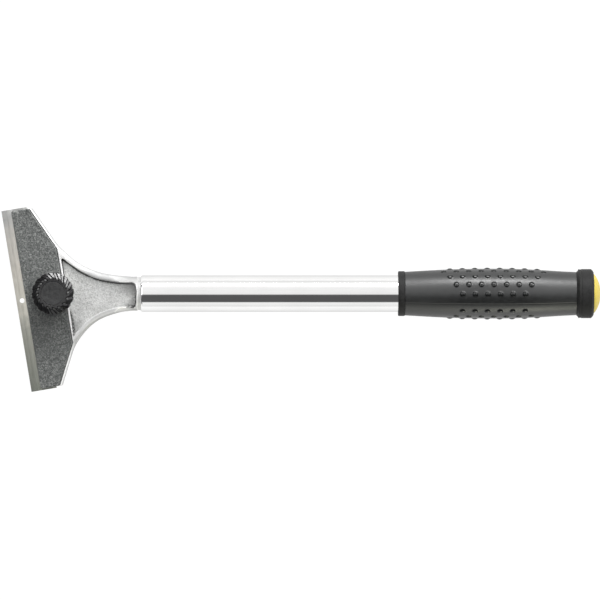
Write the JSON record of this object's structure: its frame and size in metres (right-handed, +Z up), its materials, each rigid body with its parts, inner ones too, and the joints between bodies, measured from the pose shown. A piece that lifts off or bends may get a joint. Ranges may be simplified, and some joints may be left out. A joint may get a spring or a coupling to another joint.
{
  "type": "floor scraper",
  "caption": "Long-handled floor scraper: skewed cast head, exchangeable flat blade clamped by a plate and ribbed knob, chromed tube and studded rubber grip.",
  "frame": {"origin": "middle of the footprint at floor level, with the scraper lying on its sole and grip, knob up", "axes": "+X along the handle from the blade to the end cap, +Z up along the clamp bolt, +Y across to the side where the blade leans back"},
  "size_m": [0.3286, 0.1016, 0.0285],
  "materials": {
    "cast_alloy": "as cast, fine sandy skin, edges lightly tumbled",
    "brass": "machined",
    "blade_steel": "ground along the length",
    "hammered_paint": "dark grey hammered paint",
    "zinc_steel": "zinc plated",
    "knob_plastic": "glossy black moulding",
    "cap_plastic": "satin dark grey moulding",
    "chrome": "bright chrome plate",
    "grip_plastic": "fine matt grain",
    "grip_rubber": "satin moulded rubber",
    "yellow_plastic": "satin yellow moulding"
  },
  "bodies": {
    "handle": {"head_casting": "cast_alloy", "threaded_insert": "brass", "handle_tube": "chrome", "rivets": "zinc_steel", "grip_core": "grip_plastic", "grip_cover": "grip_rubber", "end_cap": "yellow_plastic"},
    "blade": {"blade": "blade_steel"},
    "clamp": {"clamp_plate": "hammered_paint", "knob_washer": "zinc_steel"},
    "knob": {"knob_body": "knob_plastic", "knob_cap": "cap_plastic", "clamp_bolt": "zinc_steel"}
  },
  "joints": [
    {"name": "blade_slide", "type": "slide", "parent": "handle", "child": "blade", "axis": [-0.9863, -0.165, 0], "range_m": [0, 0.009]},
    {"name": "clamp_lift", "type": "slide", "parent": "handle", "child": "clamp", "axis": [0, 0, 1], "range_m": [0, 0.003]},
    {"name": "knob_turn", "type": "hinge", "parent": "clamp", "child": "knob", "pos_m": [-0.13537, 0.00321, 0.011], "axis": [0, 0, 1], "range_deg": [0, 1080]}
  ],
  "couplings": [
    {"joint": "knob_turn", "follows": "clamp_lift", "rad_per_m": 6283.2}
  ]
}
